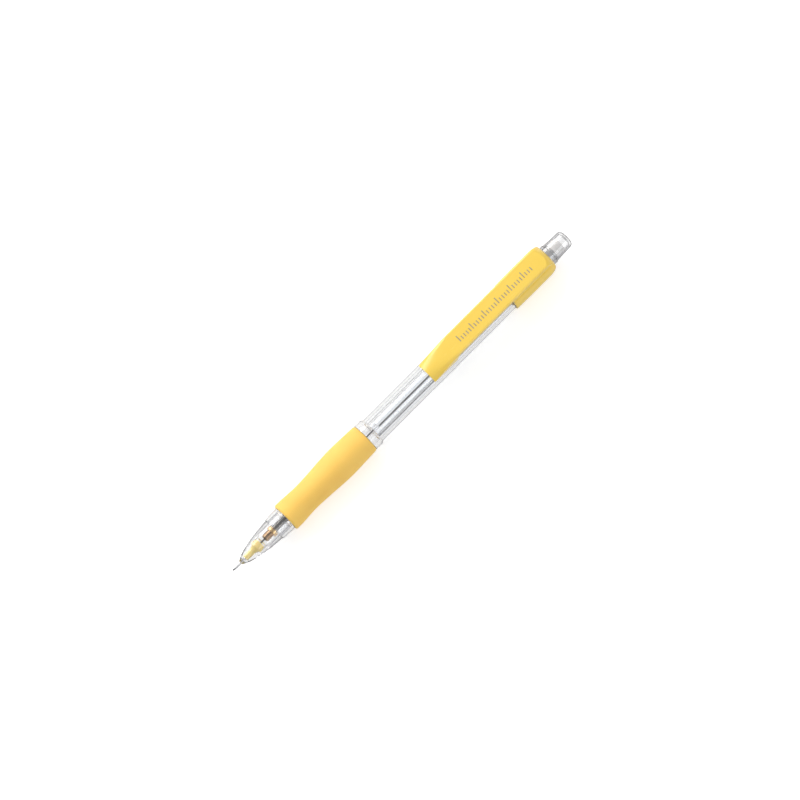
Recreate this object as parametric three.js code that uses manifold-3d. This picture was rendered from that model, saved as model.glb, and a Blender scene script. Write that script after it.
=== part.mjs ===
// A push-button mechanical pencil, in mm. It lies along X with its point at -X and its clip up.
// Stations are measured along the pencil from the lead's point; radii are measured from its axis.
import * as THREE from 'three';
import { mergeVertices } from 'three/addons/utils/BufferGeometryUtils.js';
import Module from 'manifold-3d';

const wasm = await Module();
wasm.setup();

// overall sizes
const LENGTH = 144;            // lead point to button end
const BARREL_R = 4.38;         // clear barrel, outside
const BARREL_WALL = 0.95;
const NOSE_LENGTH = 14.3;      // clear screw-on nose
const TIP_REACH = 3.2;         // pipe and lead ahead of the nose
const FRONT_BAND = 4.9;        // clear barrel showing between nose and grip
const GRIP_LENGTH = 34.4;
const COLLAR_LENGTH = 3.0;
const CAP_LENGTH = 17.5;       // clip's ring on the barrel
const BUTTON_REACH = 8.7;      // button behind the ring
const CLIP_REACH = 34.3;       // clip ahead of the ring
const CLIP_WIDTH = 7.2;
const CLIP_THICK = 1.8;
const STROKE = 2.8;            // button travel
const LEAD_R = 0.28;           // a 0.5 mm lead measures 0.56
const LEAD_LENGTH = 60;

// fits
const PRESS = 0.02;            // between pieces pushed together
const RUNNING = 0.06;          // between pieces that slide
const SEAM = 0.05;             // between end faces
const EDGE = 0.15;             // small broken edges
const BREAK = 0.1;             // smaller ones, on the inner pieces

// facets round the outer shells and round the small inner pieces
const FACETS = 24;
const INNER_FACETS = 24;
const FINE_FACETS = 16;
const CONE_FACETS = 96;        // the clip's nose
const DOME_FACETS = 72;        // the flat top's rear corners

// radii that follow the barrel
const BORE_R = BARREL_R - BARREL_WALL;
const GRIP_SEAT_R = BARREL_R - 0.35;
const WAIST_R = BARREL_R + 0.17;
const BELLY_R = BARREL_R + 0.92;
const GRIP_LIP_R = BARREL_R + 0.5;
const GRIP_REAR_R = BARREL_R + 0.6;
const COLLAR_R = BARREL_R + 0.5;
const FRONT_R = BARREL_R - 0.45;
const NOSE_REAR_R = FRONT_R - 0.25;
const NOSE_BORE_R = BORE_R - 0.25;
const SPIGOT_WALL = 0.5;
const CAP_SEAT_R = BARREL_R - 0.42;
const CAP_R = BARREL_R + 0.64;
const CLIP_TOP = CAP_R + 1.88; // height of the clip's flat top above the axis
const TUBE_R = BORE_R - 0.73;
const TUBE_WALL = 0.6;
const CONNECTOR_R = TUBE_R - 0.5;
const SPRING_BORE_R = BORE_R - 0.65;

// stations along the pencil
const NOSE_S = TIP_REACH;
const SEAM_S = NOSE_S + NOSE_LENGTH;
const GRIP_S = SEAM_S + FRONT_BAND;
const COLLAR_S = GRIP_S + GRIP_LENGTH;
const BODY_S = COLLAR_S + COLLAR_LENGTH;
const CAP_END_S = LENGTH - BUTTON_REACH;
const CAP_S = CAP_END_S - CAP_LENGTH;
const CLIP_S = CAP_S - CLIP_REACH;
const BARREL_END_S = CAP_S + 0.58 * CAP_LENGTH;
const TUBE_END_S = CAP_END_S + 2.3;

// the mechanism at the front
const HOLDER_S = NOSE_S + 0.14 * NOSE_LENGTH;
const HOLDER_END_S = NOSE_S + 0.595 * NOSE_LENGTH;
const CHUCK_S = SEAM_S - 0.28 * NOSE_LENGTH;
const RETAINER_END_S = CHUCK_S - STROKE - 0.4;
const NECK_END_S = HOLDER_S + 0.48 * (HOLDER_END_S - HOLDER_S);
const RETAINER_S = NECK_END_S + 0.4;
const HEAD_R = 1.28;
const STEM_R = 1.1;
const STEM_BORE_R = 0.5;
const GRIPPING_R = LEAD_R + 0.02;
const RING_R = 1.8;
const RING_BORE_R = 1.24;
const RING_LENGTH = 1.2;
const SLEEVE_BORE_R = 1.34;
const SLEEVE_R = 1.75;
const SLEEVE_END_S = GRIP_S + 0.15;
const JAW_ROOT_S = SLEEVE_END_S + 0.95;
const SLIT = 0.16;             // between the jaws
const CONNECTOR_S = GRIP_S + 0.63 * GRIP_LENGTH;
const STEM_END_S = CONNECTOR_S + 6;

const AXIS_Z = BELLY_R * Math.cos(Math.PI / FACETS); // the grip's lowest facet rests at z = 0

// solids

// A closed body for manifold from any closed geometry, turned outwards.
function solidOf(geometry) {
  const bare = geometry.clone();
  bare.deleteAttribute('normal');
  bare.deleteAttribute('uv');
  const merged = mergeVertices(bare, 1e-5);
  const points = merged.attributes.position;
  const corners = [];
  const a = new THREE.Vector3();
  const b = new THREE.Vector3();
  const c = new THREE.Vector3();
  let volume = 0;
  for (let i = 0; i < merged.index.count; i += 3) {
    const face = [0, 1, 2].map((k) => merged.index.getX(i + k));
    const collapsed = face[0] === face[1] || face[1] === face[2] || face[2] === face[0];
    if (collapsed) continue;
    a.fromBufferAttribute(points, face[0]);
    b.fromBufferAttribute(points, face[1]);
    c.fromBufferAttribute(points, face[2]);
    volume += a.dot(b.cross(c));
    corners.push(face);
  }
  if (volume < 0) corners.forEach((face) => face.reverse());
  return new wasm.Manifold(new wasm.Mesh({
    numProp: 3,
    vertProperties: new Float32Array(points.array),
    triVerts: new Uint32Array(corners.flat()),
  }));
}

// A named mesh from a body, with its own material.
function piece(name, solid, look) {
  const mesh = solid.getMesh();
  const geometry = new THREE.BufferGeometry();
  geometry.setAttribute('position', new THREE.BufferAttribute(mesh.vertProperties, mesh.numProp));
  geometry.setIndex(new THREE.BufferAttribute(mesh.triVerts, 1));
  geometry.computeVertexNormals();
  const result = new THREE.Mesh(geometry, new THREE.MeshStandardMaterial(look));
  result.name = name;
  return result;
}

// Moves a geometry built in stations and axis-centred heights into the pencil's place.
function place(geometry) {
  return geometry.translate(-LENGTH / 2, 0, AXIS_Z);
}

// A turned body: a closed profile of [station, radius] pairs, with a facet at its lowest side.
function turned(profile, facets = FACETS) {
  const points = profile.map(([station, radius]) => new THREE.Vector2(radius, station));
  const onAxis = points[0].x === 0 && points[points.length - 1].x === 0;
  if (!onAxis) points.push(points[0].clone());
  const geometry = new THREE.LatheGeometry(points, facets, Math.PI / facets);
  geometry.rotateZ(-Math.PI / 2);
  return solidOf(place(geometry));
}

// Points of a smooth curve through [station, radius] knots.
function curve(knots, steps) {
  const spline = new THREE.SplineCurve(knots.map(([station, radius]) => new THREE.Vector2(station, radius)));
  return spline.getPoints(steps).map((point) => [point.x, point.y]);
}

// Points of a quarter round from one profile direction to another about a centre.
function round(station, radius, size, from, to, steps) {
  const points = [];
  for (let i = 0; i <= steps; i += 1) {
    const angle = THREE.MathUtils.degToRad(from + ((to - from) * i) / steps);
    points.push([station + size * Math.sin(angle), radius + size * Math.cos(angle)]);
  }
  return points;
}

// Points of an elliptical shoulder that falls from one radius to a smaller one at its end.
function shoulder(end, length, low, high, steps) {
  const points = [];
  for (let i = 0; i <= steps; i += 1) {
    const angle = (i / steps) * (Math.PI / 2);
    points.push([end - length + length * Math.sin(angle), low + (high - low) * Math.cos(angle)]);
  }
  return points;
}

// A side outline of [station, height] pairs carried across the pencil, its long edges rounded.
function across(outline, width, edge) {
  const shape = new THREE.Shape(outline.map(([station, height]) => new THREE.Vector2(station, height)));
  const geometry = new THREE.ExtrudeGeometry(shape, {
    depth: width - 2 * edge,
    bevelEnabled: edge > 0,
    bevelThickness: edge,
    bevelSize: edge,
    bevelOffset: -edge,
    bevelSegments: 2,
  });
  geometry.translate(0, 0, -(width - 2 * edge) / 2);
  geometry.rotateX(Math.PI / 2);
  return solidOf(place(geometry));
}

// A box between two stations, across the whole width and upwards from a height.
function blockAbove(start, end, width, low, high) {
  const geometry = new THREE.BoxGeometry(end - start, width, high - low);
  geometry.translate((start + end) / 2, 0, (low + high) / 2);
  return solidOf(place(geometry));
}

// looks

const clear = { color: 0xe6e9ee, roughness: 0.05, metalness: 0, transparent: true, opacity: 0.35 };
const yellow = { color: 0xf3c93f, roughness: 0.3, metalness: 0 };
const yellowRubber = { color: 0xf0c45c, roughness: 0.7, metalness: 0 };
const brass = { color: 0xc39a4a, roughness: 0.3, metalness: 1 };
const steel = { color: 0x9b9da1, roughness: 0.25, metalness: 1 };
const whiteRubber = { color: 0xe9e9e6, roughness: 0.5, metalness: 0 };
const darkRubber = { color: 0x3a3a3a, roughness: 0.85, metalness: 0 };
const graphite = { color: 0x2b2b2e, roughness: 0.45, metalness: 0.2 };

// the barrel and what is fixed to it

const barrel = turned([
  [SEAM_S, FRONT_R - EDGE],
  [SEAM_S + EDGE, FRONT_R],
  [GRIP_S - 0.3, FRONT_R + 0.2],
  [GRIP_S - SEAM, FRONT_R + 0.2],
  [GRIP_S - SEAM, GRIP_SEAT_R],
  [COLLAR_S, GRIP_SEAT_R],
  [COLLAR_S, COLLAR_R - EDGE],
  [COLLAR_S + EDGE, COLLAR_R],
  [BODY_S - 0.3, COLLAR_R],
  [BODY_S, COLLAR_R - 0.25],
  [BODY_S, BARREL_R],
  [CAP_S - SEAM, BARREL_R],
  [CAP_S - SEAM, CAP_SEAT_R],
  [BARREL_END_S - EDGE, CAP_SEAT_R],
  [BARREL_END_S, CAP_SEAT_R - EDGE],
  [BARREL_END_S, BORE_R],
  [COLLAR_S - 4, BORE_R],
  [COLLAR_S - 7, SPRING_BORE_R],
  [SLEEVE_END_S + SEAM, SPRING_BORE_R],
  [SLEEVE_END_S + SEAM, NOSE_BORE_R],
  [SEAM_S, NOSE_BORE_R],
]);

const gripInner = GRIP_SEAT_R + PRESS;
const gripOutline = curve([
  [GRIP_S + 0.45, GRIP_LIP_R + 0.02],
  [GRIP_S + 3.2, GRIP_LIP_R - 0.04],
  [GRIP_S + 0.25 * GRIP_LENGTH, WAIST_R],
  [GRIP_S + 0.42 * GRIP_LENGTH, WAIST_R + 0.24],
  [GRIP_S + 0.6 * GRIP_LENGTH, BELLY_R - 0.1],
  [GRIP_S + 0.7 * GRIP_LENGTH, BELLY_R],
  [GRIP_S + 0.82 * GRIP_LENGTH, BELLY_R - 0.1],
  [GRIP_S + GRIP_LENGTH - 0.4, GRIP_REAR_R],
], 14);
const rubberGrip = turned([
  [GRIP_S, GRIP_LIP_R - 0.4],
  [GRIP_S + 0.15, GRIP_LIP_R - 0.12],
  ...gripOutline,
  [GRIP_S + GRIP_LENGTH - SEAM, GRIP_REAR_R - 0.3],
  [GRIP_S + GRIP_LENGTH - SEAM, gripInner],
  [GRIP_S, gripInner],
]);

// The clutch sleeve's flange is held between the nose's spigot and the barrel's inner step.
const spigotEnd = SLEEVE_END_S - 1.05;
const clutchSleeve = turned([
  [SEAM_S, SLEEVE_BORE_R],
  [SEAM_S, SLEEVE_R - BREAK],
  [SEAM_S + BREAK, SLEEVE_R],
  [spigotEnd + SEAM, SLEEVE_R],
  [spigotEnd + SEAM, NOSE_BORE_R - RUNNING],
  [SLEEVE_END_S, NOSE_BORE_R - RUNNING],
  [SLEEVE_END_S, SLEEVE_BORE_R],
], INNER_FACETS);

// the cap ring and the clip

const capBore = CAP_SEAT_R + PRESS;
const buttonBore = TUBE_R + 0.84;
const mouthFlare = 0.3;        // the ring's mouth opens by this round the button
const shoulderLength = 3.3;    // the ring rounds off over this at its rear
const mouthRimR = buttonBore + mouthFlare + 0.2;
const ringSolid = turned([
  [CAP_S, 0],
  [CAP_S, CAP_R - 0.2],
  [CAP_S + 0.2, CAP_R - 0.08],
  [CAP_S + 0.35 * CAP_LENGTH, CAP_R],
  [CAP_S + 0.65 * CAP_LENGTH, CAP_R],
  ...shoulder(CAP_END_S, shoulderLength, mouthRimR, CAP_R, 6),
  [CAP_END_S, 0],
]);
const headLow = 1.0;
const headEdge = 0.3;
const capBlock = across([
  [CAP_S, headLow],
  [CAP_END_S, headLow],
  [CAP_END_S, CLIP_TOP],
  [CAP_S, CLIP_TOP],
], CLIP_WIDTH, headEdge);
// the flat top's rear corners follow a dome round the axis
const domeLength = 5.2;
const domeR = CLIP_TOP + 1.1;
const rearDome = turned([
  [CAP_S - 1, 0],
  [CAP_S - 1, domeR],
  ...shoulder(CAP_END_S, domeLength, mouthRimR, domeR, 9),
  [CAP_END_S, 0],
], DOME_FACETS);
const capHead = capBlock.intersect(rearDome);
const capHollow = turned([
  [CAP_S - 1, 0],
  [CAP_S - 1, capBore],
  [BARREL_END_S + SEAM, capBore],
  [BARREL_END_S + SEAM + 0.3, buttonBore],
  [CAP_END_S - mouthFlare, buttonBore],
  [CAP_END_S, buttonBore + mouthFlare],
  [CAP_END_S + 1, buttonBore + mouthFlare],
  [CAP_END_S + 1, 0],
]);
// squared off where the clip's arm meets it
const capFront = blockAbove(CAP_S - 1, CAP_S, 4 * CAP_R, -2 * CAP_R, 2 * CAP_R);
const clipCap = ringSolid.add(capHead).subtract(capHollow).subtract(capFront);

// The clip's nose is part of a cone on the pencil's axis, cut flat at the top, and hugs the barrel.
const noseSlope = 0.26;
const noseTipR = BARREL_R + 0.28;
const padR = BARREL_R + 0.05;
const padEnd = CLIP_S + 8.5;
const padRise = 2.2;           // the slope from the pad up to the clip's underside
const coneRun = 20;
const coneR = noseTipR + coneRun * noseSlope;
const padFloorHeight = 0.55 * BARREL_R;
const underside = CLIP_TOP - CLIP_THICK;
const clipRoot = CAP_S - SEAM;
const armSolid = across([
  [CLIP_S - 1, 0],
  [padEnd, 0],
  [padEnd + padRise, underside],
  [clipRoot + 1, underside],
  [clipRoot + 1, CLIP_TOP],
  [CLIP_S - 1, CLIP_TOP],
], CLIP_WIDTH, headEdge);
const noseCone = turned([
  [CLIP_S, 0],
  [CLIP_S, noseTipR - 0.12],
  [CLIP_S + 0.15, noseTipR],
  [CLIP_S + coneRun, coneR],
  [clipRoot, coneR],
  [clipRoot, 0],
], CONE_FACETS);
const padHollow = turned([
  [CLIP_S - 2, 0],
  [CLIP_S - 2, padR + 0.5],
  [CLIP_S + 1.2, padR],
  [clipRoot + 2, padR],
  [clipRoot + 2, 0],
]);
const padFloor = blockAbove(CLIP_S - 2, clipRoot + 2, CLIP_WIDTH + 2, -1, padFloorHeight);
const clipArm = armSolid.intersect(noseCone).subtract(padHollow).subtract(padFloor);

// the nose and what is fixed in it

const spigotR = NOSE_BORE_R - 0.05;
const noseBore = spigotR - SPIGOT_WALL;
const cupR = HEAD_R + 0.24;    // the holder's cup takes the opened chuck's head
const cupWall = 0.18;
const holderR = Math.max(Math.min(2.0, noseBore - 0.4), cupR + cupWall);
const holderNeckR = 0.5 * holderR;
const holderMiddleS = NECK_END_S + 0.4 * (HOLDER_END_S - NECK_END_S);
const pipeR = LEAD_R + 0.14;
const pocket = 0.04;           // between a piece and the hole it sits in
const noseOutline = curve([
  [NOSE_S, 0.2 * NOSE_REAR_R],
  [NOSE_S + 0.13 * NOSE_LENGTH, 0.44 * NOSE_REAR_R],
  [NOSE_S + 0.22 * NOSE_LENGTH, 0.56 * NOSE_REAR_R],
  [NOSE_S + 0.42 * NOSE_LENGTH, 0.735 * NOSE_REAR_R],
  [NOSE_S + 0.64 * NOSE_LENGTH, 0.88 * NOSE_REAR_R],
  [SEAM_S - SEAM, NOSE_REAR_R],
], 13);
const noseConePiece = turned([
  ...noseOutline,
  [SEAM_S - SEAM, spigotR],
  [spigotEnd - 0.2, spigotR],
  [spigotEnd, spigotR - 0.2],
  [spigotEnd, noseBore],
  [HOLDER_END_S + 1.2, noseBore],
  [HOLDER_END_S + 0.2, holderR + pocket],
  [holderMiddleS, holderR + pocket],
  [NECK_END_S, holderNeckR + pocket],
  [HOLDER_S, holderNeckR + pocket],
  [HOLDER_S, pipeR + pocket],
  [NOSE_S, pipeR + pocket],
]);

const retainerHoleR = 0.6 * holderR;
const retainerGap = 0.03;
const sleeveHolder = turned([
  [HOLDER_S + SEAM, pipeR + PRESS],
  [HOLDER_S + SEAM, holderNeckR - BREAK],
  [HOLDER_S + SEAM + BREAK, holderNeckR],
  [NECK_END_S + SEAM, holderNeckR],
  [holderMiddleS + SEAM, holderR],
  [holderMiddleS + 0.6, holderR],
  [HOLDER_END_S, cupR + cupWall],
  [HOLDER_END_S, cupR],
  [RETAINER_END_S, cupR],
  [RETAINER_END_S, retainerHoleR],
  [RETAINER_S, retainerHoleR],
  [RETAINER_S, pipeR + PRESS],
], INNER_FACETS);

const pipeFront = 0.65;
const pipeBore = LEAD_R + 0.04;
const leadPipe = turned([
  [pipeFront, pipeBore],
  [pipeFront, pipeR - 0.05],
  [pipeFront + 0.08, pipeR],
  [RETAINER_S - 0.1, pipeR],
  [RETAINER_S - 0.1, pipeBore],
], FINE_FACETS);

const retainerBore = LEAD_R + 0.03;
const leadRetainer = turned([
  [RETAINER_S + retainerGap, retainerBore],
  [RETAINER_S + retainerGap, retainerHoleR - retainerGap],
  [RETAINER_END_S - retainerGap, retainerHoleR - retainerGap],
  [RETAINER_END_S - retainerGap, LEAD_R + 0.45],
  [RETAINER_END_S - 0.6, retainerBore],
], FINE_FACETS);

// the chuck

const chuckBody = turned([
  [CHUCK_S, GRIPPING_R + 0.12],
  [CHUCK_S, 0.8],
  [CHUCK_S + 0.35, HEAD_R],
  [CHUCK_S + 1.7, HEAD_R],
  [CHUCK_S + 4.1, STEM_R],
  [JAW_ROOT_S, STEM_R],
  [JAW_ROOT_S, STEM_BORE_R],
  [CHUCK_S + 2.6, STEM_BORE_R],
  [CHUCK_S + 2.3, GRIPPING_R],
  [CHUCK_S + 0.15, GRIPPING_R],
], INNER_FACETS);

// Three equal jaws; one slit faces up.
const jaws = [0, 1, 2].map((k) => {
  const middle = Math.PI / 2 + Math.PI / 3 + (k * 2 * Math.PI) / 3;
  const apex = SLIT / 2 / Math.sin(Math.PI / 3);
  const reach = 4 * HEAD_R;
  const corner = (side) => new THREE.Vector2(
    apex * Math.cos(middle) + reach * Math.cos(middle + (side * Math.PI) / 3),
    apex * Math.sin(middle) + reach * Math.sin(middle + (side * Math.PI) / 3),
  );
  const tip = new THREE.Vector2(apex * Math.cos(middle), apex * Math.sin(middle));
  const sector = new THREE.ExtrudeGeometry(new THREE.Shape([tip, corner(-1), corner(1)]), {
    depth: JAW_ROOT_S - CHUCK_S + 2,
    bevelEnabled: false,
  });
  // the shape's x and y become the pencil's y and z
  sector.applyMatrix4(new THREE.Matrix4().set(0, 0, 1, CHUCK_S - 1, 1, 0, 0, 0, 0, 1, 0, 0, 0, 0, 0, 1));
  return chuckBody.intersect(solidOf(place(sector)));
});

const chuckStem = turned([
  [JAW_ROOT_S + SEAM, STEM_BORE_R],
  [JAW_ROOT_S + SEAM, STEM_R],
  [STEM_END_S - 0.1, STEM_R],
  [STEM_END_S - 0.1, STEM_BORE_R],
], INNER_FACETS);

const ringEnd = SEAM_S - 0.02;
const clutchRing = turned([
  [ringEnd - RING_LENGTH, RING_BORE_R],
  [ringEnd - RING_LENGTH, RING_R - BREAK],
  [ringEnd - RING_LENGTH + BREAK, RING_R],
  [ringEnd - BREAK, RING_R],
  [ringEnd, RING_R - BREAK],
  [ringEnd, RING_BORE_R],
], INNER_FACETS);

// the return spring

const wireR = 0.17;
const coilR = (STEM_R + CONNECTOR_R) / 2;
const springStart = SLEEVE_END_S + wireR + 0.02;
const springEnd = CONNECTOR_S - wireR - 0.02;
const coils = 11;
const stepsPerCoil = 14;
class Coil extends THREE.Curve {
  // closed turns at both ends, open ones between
  getPoint(t, target = new THREE.Vector3()) {
    const angle = t * coils * 2 * Math.PI;
    const endTurn = 1.25 / coils;
    const closed = 2 * wireR * 1.06 * 1.25;
    const open = springEnd - springStart - 2 * closed;
    let station = closed + (open * (t - endTurn)) / (1 - 2 * endTurn);
    if (t < endTurn) station = (closed * t) / endTurn;
    if (t > 1 - endTurn) station = closed + open + (closed * (t - 1 + endTurn)) / endTurn;
    return target.set(springStart + station, coilR * Math.cos(angle), coilR * Math.sin(angle));
  }
}
const wireShape = new THREE.Shape();
for (let i = 0; i < 6; i += 1) {
  const angle = (i * Math.PI) / 3;
  const move = i === 0 ? 'moveTo' : 'lineTo';
  wireShape[move](wireR * Math.cos(angle), wireR * Math.sin(angle));
}
const springGeometry = new THREE.ExtrudeGeometry(wireShape, {
  steps: coils * stepsPerCoil,
  curveSegments: 1,
  extrudePath: new Coil(),
});
const returnSpring = solidOf(place(springGeometry));

// what the button pushes

const connectorBore = STEM_R + PRESS;
const spigotLength = 2.2;
const funnelDepth = 1.4;       // leads are guided into the chuck's bore
const tubeStart = BODY_S - 0.15;
const tubeBore = TUBE_R - TUBE_WALL;
const chuckConnector = turned([
  [CONNECTOR_S, connectorBore],
  [CONNECTOR_S, CONNECTOR_R - BREAK],
  [CONNECTOR_S + BREAK, CONNECTOR_R],
  [tubeStart - SEAM, CONNECTOR_R],
  [tubeStart - SEAM, tubeBore - PRESS],
  [tubeStart + spigotLength - 0.2, tubeBore - PRESS],
  [tubeStart + spigotLength, tubeBore - PRESS - 0.2],
  [tubeStart + spigotLength, tubeBore - 0.45],
  [tubeStart + spigotLength - funnelDepth, STEM_BORE_R],
  [STEM_END_S, STEM_BORE_R],
  [STEM_END_S, connectorBore],
], INNER_FACETS);

const leadTube = turned([
  [tubeStart, tubeBore],
  [tubeStart, TUBE_R - BREAK],
  [tubeStart + BREAK, TUBE_R],
  [TUBE_END_S - BREAK, TUBE_R],
  [TUBE_END_S, TUBE_R - BREAK],
  [TUBE_END_S, tubeBore],
], INNER_FACETS);

const eraserR = TUBE_R - 0.3;
const eraserEnd = TUBE_END_S + 3.5;
const plugLength = 6;          // of the eraser inside the tube
const eraser = turned([
  [TUBE_END_S - plugLength, 0],
  [TUBE_END_S - plugLength, tubeBore - 0.2],
  [TUBE_END_S - plugLength + 0.2, tubeBore - PRESS],
  [TUBE_END_S + SEAM, tubeBore - PRESS],
  [TUBE_END_S + SEAM, eraserR],
  [eraserEnd - 0.2, eraserR],
  [eraserEnd, eraserR - 0.2],
  [eraserEnd, 0],
], INNER_FACETS);

// The button is a thin clear cup pushed over the tube's end; its foot runs inside the ring.
const skirtR = buttonBore - 0.12;
const cupOuter = TUBE_R + 0.52;
const cupTip = cupOuter - 0.28;
const buttonWall = 0.5;
const footS = CAP_END_S - 1.8;
const footEnd = CAP_END_S + 1.5;
const buttonCap = turned([
  [footS, TUBE_R + PRESS],
  [footS, skirtR - EDGE],
  [footS + EDGE, skirtR],
  [footEnd, skirtR],
  [footEnd + 0.15, cupOuter],
  ...round(LENGTH - 1.2, cupTip - 1.2, 1.2, 15, 90, 5),
  [LENGTH, 0],
  [LENGTH - buttonWall, 0],
  [LENGTH - buttonWall, cupTip - 1.3],
  [LENGTH - 1.3, cupTip - buttonWall - 0.1],
  [TUBE_END_S + SEAM, cupOuter - buttonWall],
  [TUBE_END_S + SEAM, TUBE_R + PRESS],
]);

// leads

function leadStick(start, drop) {
  const stick = turned([
    [start, 0],
    [start, LEAD_R - 0.06],
    [start + 0.06, LEAD_R],
    [start + LEAD_LENGTH, LEAD_R],
    [start + LEAD_LENGTH, 0],
  ], 12);
  return stick.translate([0, 0, -drop]);
}
const leadInUse = leadStick(0, 0);
// the spare lies in the tube's lowest part
const spareDrop = tubeBore * Math.cos(Math.PI / INNER_FACETS) - LEAD_R - 0.02;
const spareGap = 0.6;
const spareLead = leadStick(tubeStart + spigotLength + spareGap, spareDrop);

// the pencil

const pencil = new THREE.Group();
pencil.name = 'mechanical_pencil';
pencil.add(
  piece('barrel', barrel, clear),
  piece('rubber_grip', rubberGrip, yellowRubber),
  piece('clutch_sleeve', clutchSleeve, clear),
  piece('clip_cap', clipCap, yellow),
  piece('clip_arm', clipArm, yellow),
  piece('nose_cone', noseConePiece, clear),
  piece('sleeve_holder', sleeveHolder, yellow),
  piece('lead_pipe', leadPipe, steel),
  piece('lead_retainer', leadRetainer, darkRubber),
  ...jaws.map((jaw, k) => piece(`chuck_jaw_${k + 1}`, jaw, brass)),
  piece('chuck_stem', chuckStem, brass),
  piece('clutch_ring', clutchRing, brass),
  piece('return_spring', returnSpring, steel),
  piece('chuck_connector', chuckConnector, clear),
  piece('lead_tube', leadTube, clear),
  piece('eraser', eraser, whiteRubber),
  piece('button_cap', buttonCap, clear),
  piece('lead_in_use', leadInUse, graphite),
  piece('spare_lead', spareLead, graphite),
);

export default pencil;
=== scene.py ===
import math

import bmesh
import bpy
from mathutils import Matrix, Vector
from mathutils.geometry import interpolate_bezier


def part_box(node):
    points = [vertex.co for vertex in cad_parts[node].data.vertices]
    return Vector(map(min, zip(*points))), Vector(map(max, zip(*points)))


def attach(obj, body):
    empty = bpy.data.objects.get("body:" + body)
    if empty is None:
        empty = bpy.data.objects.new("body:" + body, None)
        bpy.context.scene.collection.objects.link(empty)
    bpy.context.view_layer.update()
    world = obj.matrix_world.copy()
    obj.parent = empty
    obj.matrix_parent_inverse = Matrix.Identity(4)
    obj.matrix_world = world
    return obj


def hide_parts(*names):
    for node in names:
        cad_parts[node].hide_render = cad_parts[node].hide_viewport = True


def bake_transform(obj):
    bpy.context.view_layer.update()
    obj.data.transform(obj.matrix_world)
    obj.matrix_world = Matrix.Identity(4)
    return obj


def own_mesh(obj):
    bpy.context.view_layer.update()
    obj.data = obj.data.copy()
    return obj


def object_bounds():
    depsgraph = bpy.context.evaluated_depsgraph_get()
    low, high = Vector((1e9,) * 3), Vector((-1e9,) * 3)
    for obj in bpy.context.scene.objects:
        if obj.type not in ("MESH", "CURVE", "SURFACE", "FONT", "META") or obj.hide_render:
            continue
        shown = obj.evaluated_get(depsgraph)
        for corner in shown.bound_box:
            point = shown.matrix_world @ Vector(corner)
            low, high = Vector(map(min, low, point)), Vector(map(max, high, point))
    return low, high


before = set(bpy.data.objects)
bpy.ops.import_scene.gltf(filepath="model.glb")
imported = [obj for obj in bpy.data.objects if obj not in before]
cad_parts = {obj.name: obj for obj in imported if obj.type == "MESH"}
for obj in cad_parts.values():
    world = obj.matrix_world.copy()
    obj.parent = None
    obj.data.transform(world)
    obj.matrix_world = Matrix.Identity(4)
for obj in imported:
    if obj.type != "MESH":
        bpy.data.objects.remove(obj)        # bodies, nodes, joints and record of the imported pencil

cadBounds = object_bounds()
mm = 0.001
fullTurn = 2 * math.pi
seam = 0.05              # mm between the end faces of neighbouring pieces

# the pencil lies along X; a station counts mm from the lead's point, a radius or height mm
# from the axis
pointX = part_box("lead_in_use")[0].x
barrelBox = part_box("barrel")
axisHeight = (barrelBox[0].z + barrelBox[1].z) / 2
axisPoint = Vector((pointX, 0, axisHeight))


def place(station, radius, side=0.0):
    return Vector((pointX + station * mm, side * mm, axisHeight + radius * mm))


def reach(node):
    low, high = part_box(node)
    return (low.x - pointX) / mm, (high.x - pointX) / mm


barrelStart, barrelEnd = reach("barrel")
gripStart, gripEnd = reach("rubber_grip")
capStart, capEnd = reach("clip_cap")
clipStart = reach("clip_arm")[0]
noseStart, noseEnd = reach("nose_cone")
tubeStart, tubeEnd = reach("lead_tube")
sleeveStart, sleeveEnd = reach("clutch_sleeve")
buttonStart, buttonEnd = reach("button_cap")
holderStart, holderEnd = reach("sleeve_holder")
retainerStart, retainerEnd = reach("lead_retainer")


# node groups

def newGroup(name, inputs, outputs):
    group = bpy.data.node_groups.new(name, "ShaderNodeTree")
    for label, kind, value in inputs:
        socket = group.interface.new_socket(name=label, in_out="INPUT", socket_type=kind)
        if value is not None:
            socket.default_value = value
    for label, kind in outputs:
        group.interface.new_socket(name=label, in_out="OUTPUT", socket_type=kind)
    return group, group.nodes.new("NodeGroupInput"), group.nodes.new("NodeGroupOutput")


def addNode(tree, kind, settings=None, **values):
    node = tree.nodes.new(kind)
    for key, value in (settings or {}).items():
        setattr(node, key, value)
    for key, value in values.items():
        node.inputs[key.replace("_", " ")].default_value = value
    return node


def buildMouldGrain():
    # fine and broad unevenness that a moulded or rubber skin has
    group, source, result = newGroup(
        "mouldGrain",
        [("Vector", "NodeSocketVector", None), ("Fine Scale", "NodeSocketFloat", 4000.0),
         ("Broad Scale", "NodeSocketFloat", 180.0)],
        [("Height", "NodeSocketFloat"), ("Tone", "NodeSocketFloat")],
    )
    broadShare = 0.35        # of the broad unevenness in the height
    fine = addNode(group, "ShaderNodeTexNoise", Detail=3.0, Roughness=0.6)
    broad = addNode(group, "ShaderNodeTexNoise", Detail=2.0, Roughness=0.5)
    total = addNode(group, "ShaderNodeMath", {"operation": "MULTIPLY_ADD"})
    total.inputs[1].default_value = broadShare
    links = group.links
    links.new(source.outputs["Vector"], fine.inputs["Vector"])
    links.new(source.outputs["Vector"], broad.inputs["Vector"])
    links.new(source.outputs["Fine Scale"], fine.inputs["Scale"])
    links.new(source.outputs["Broad Scale"], broad.inputs["Scale"])
    links.new(broad.outputs["Fac"], total.inputs[0])
    links.new(fine.outputs["Fac"], total.inputs[2])
    links.new(total.outputs[0], result.inputs["Height"])
    links.new(broad.outputs["Fac"], result.inputs["Tone"])
    return group


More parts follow.
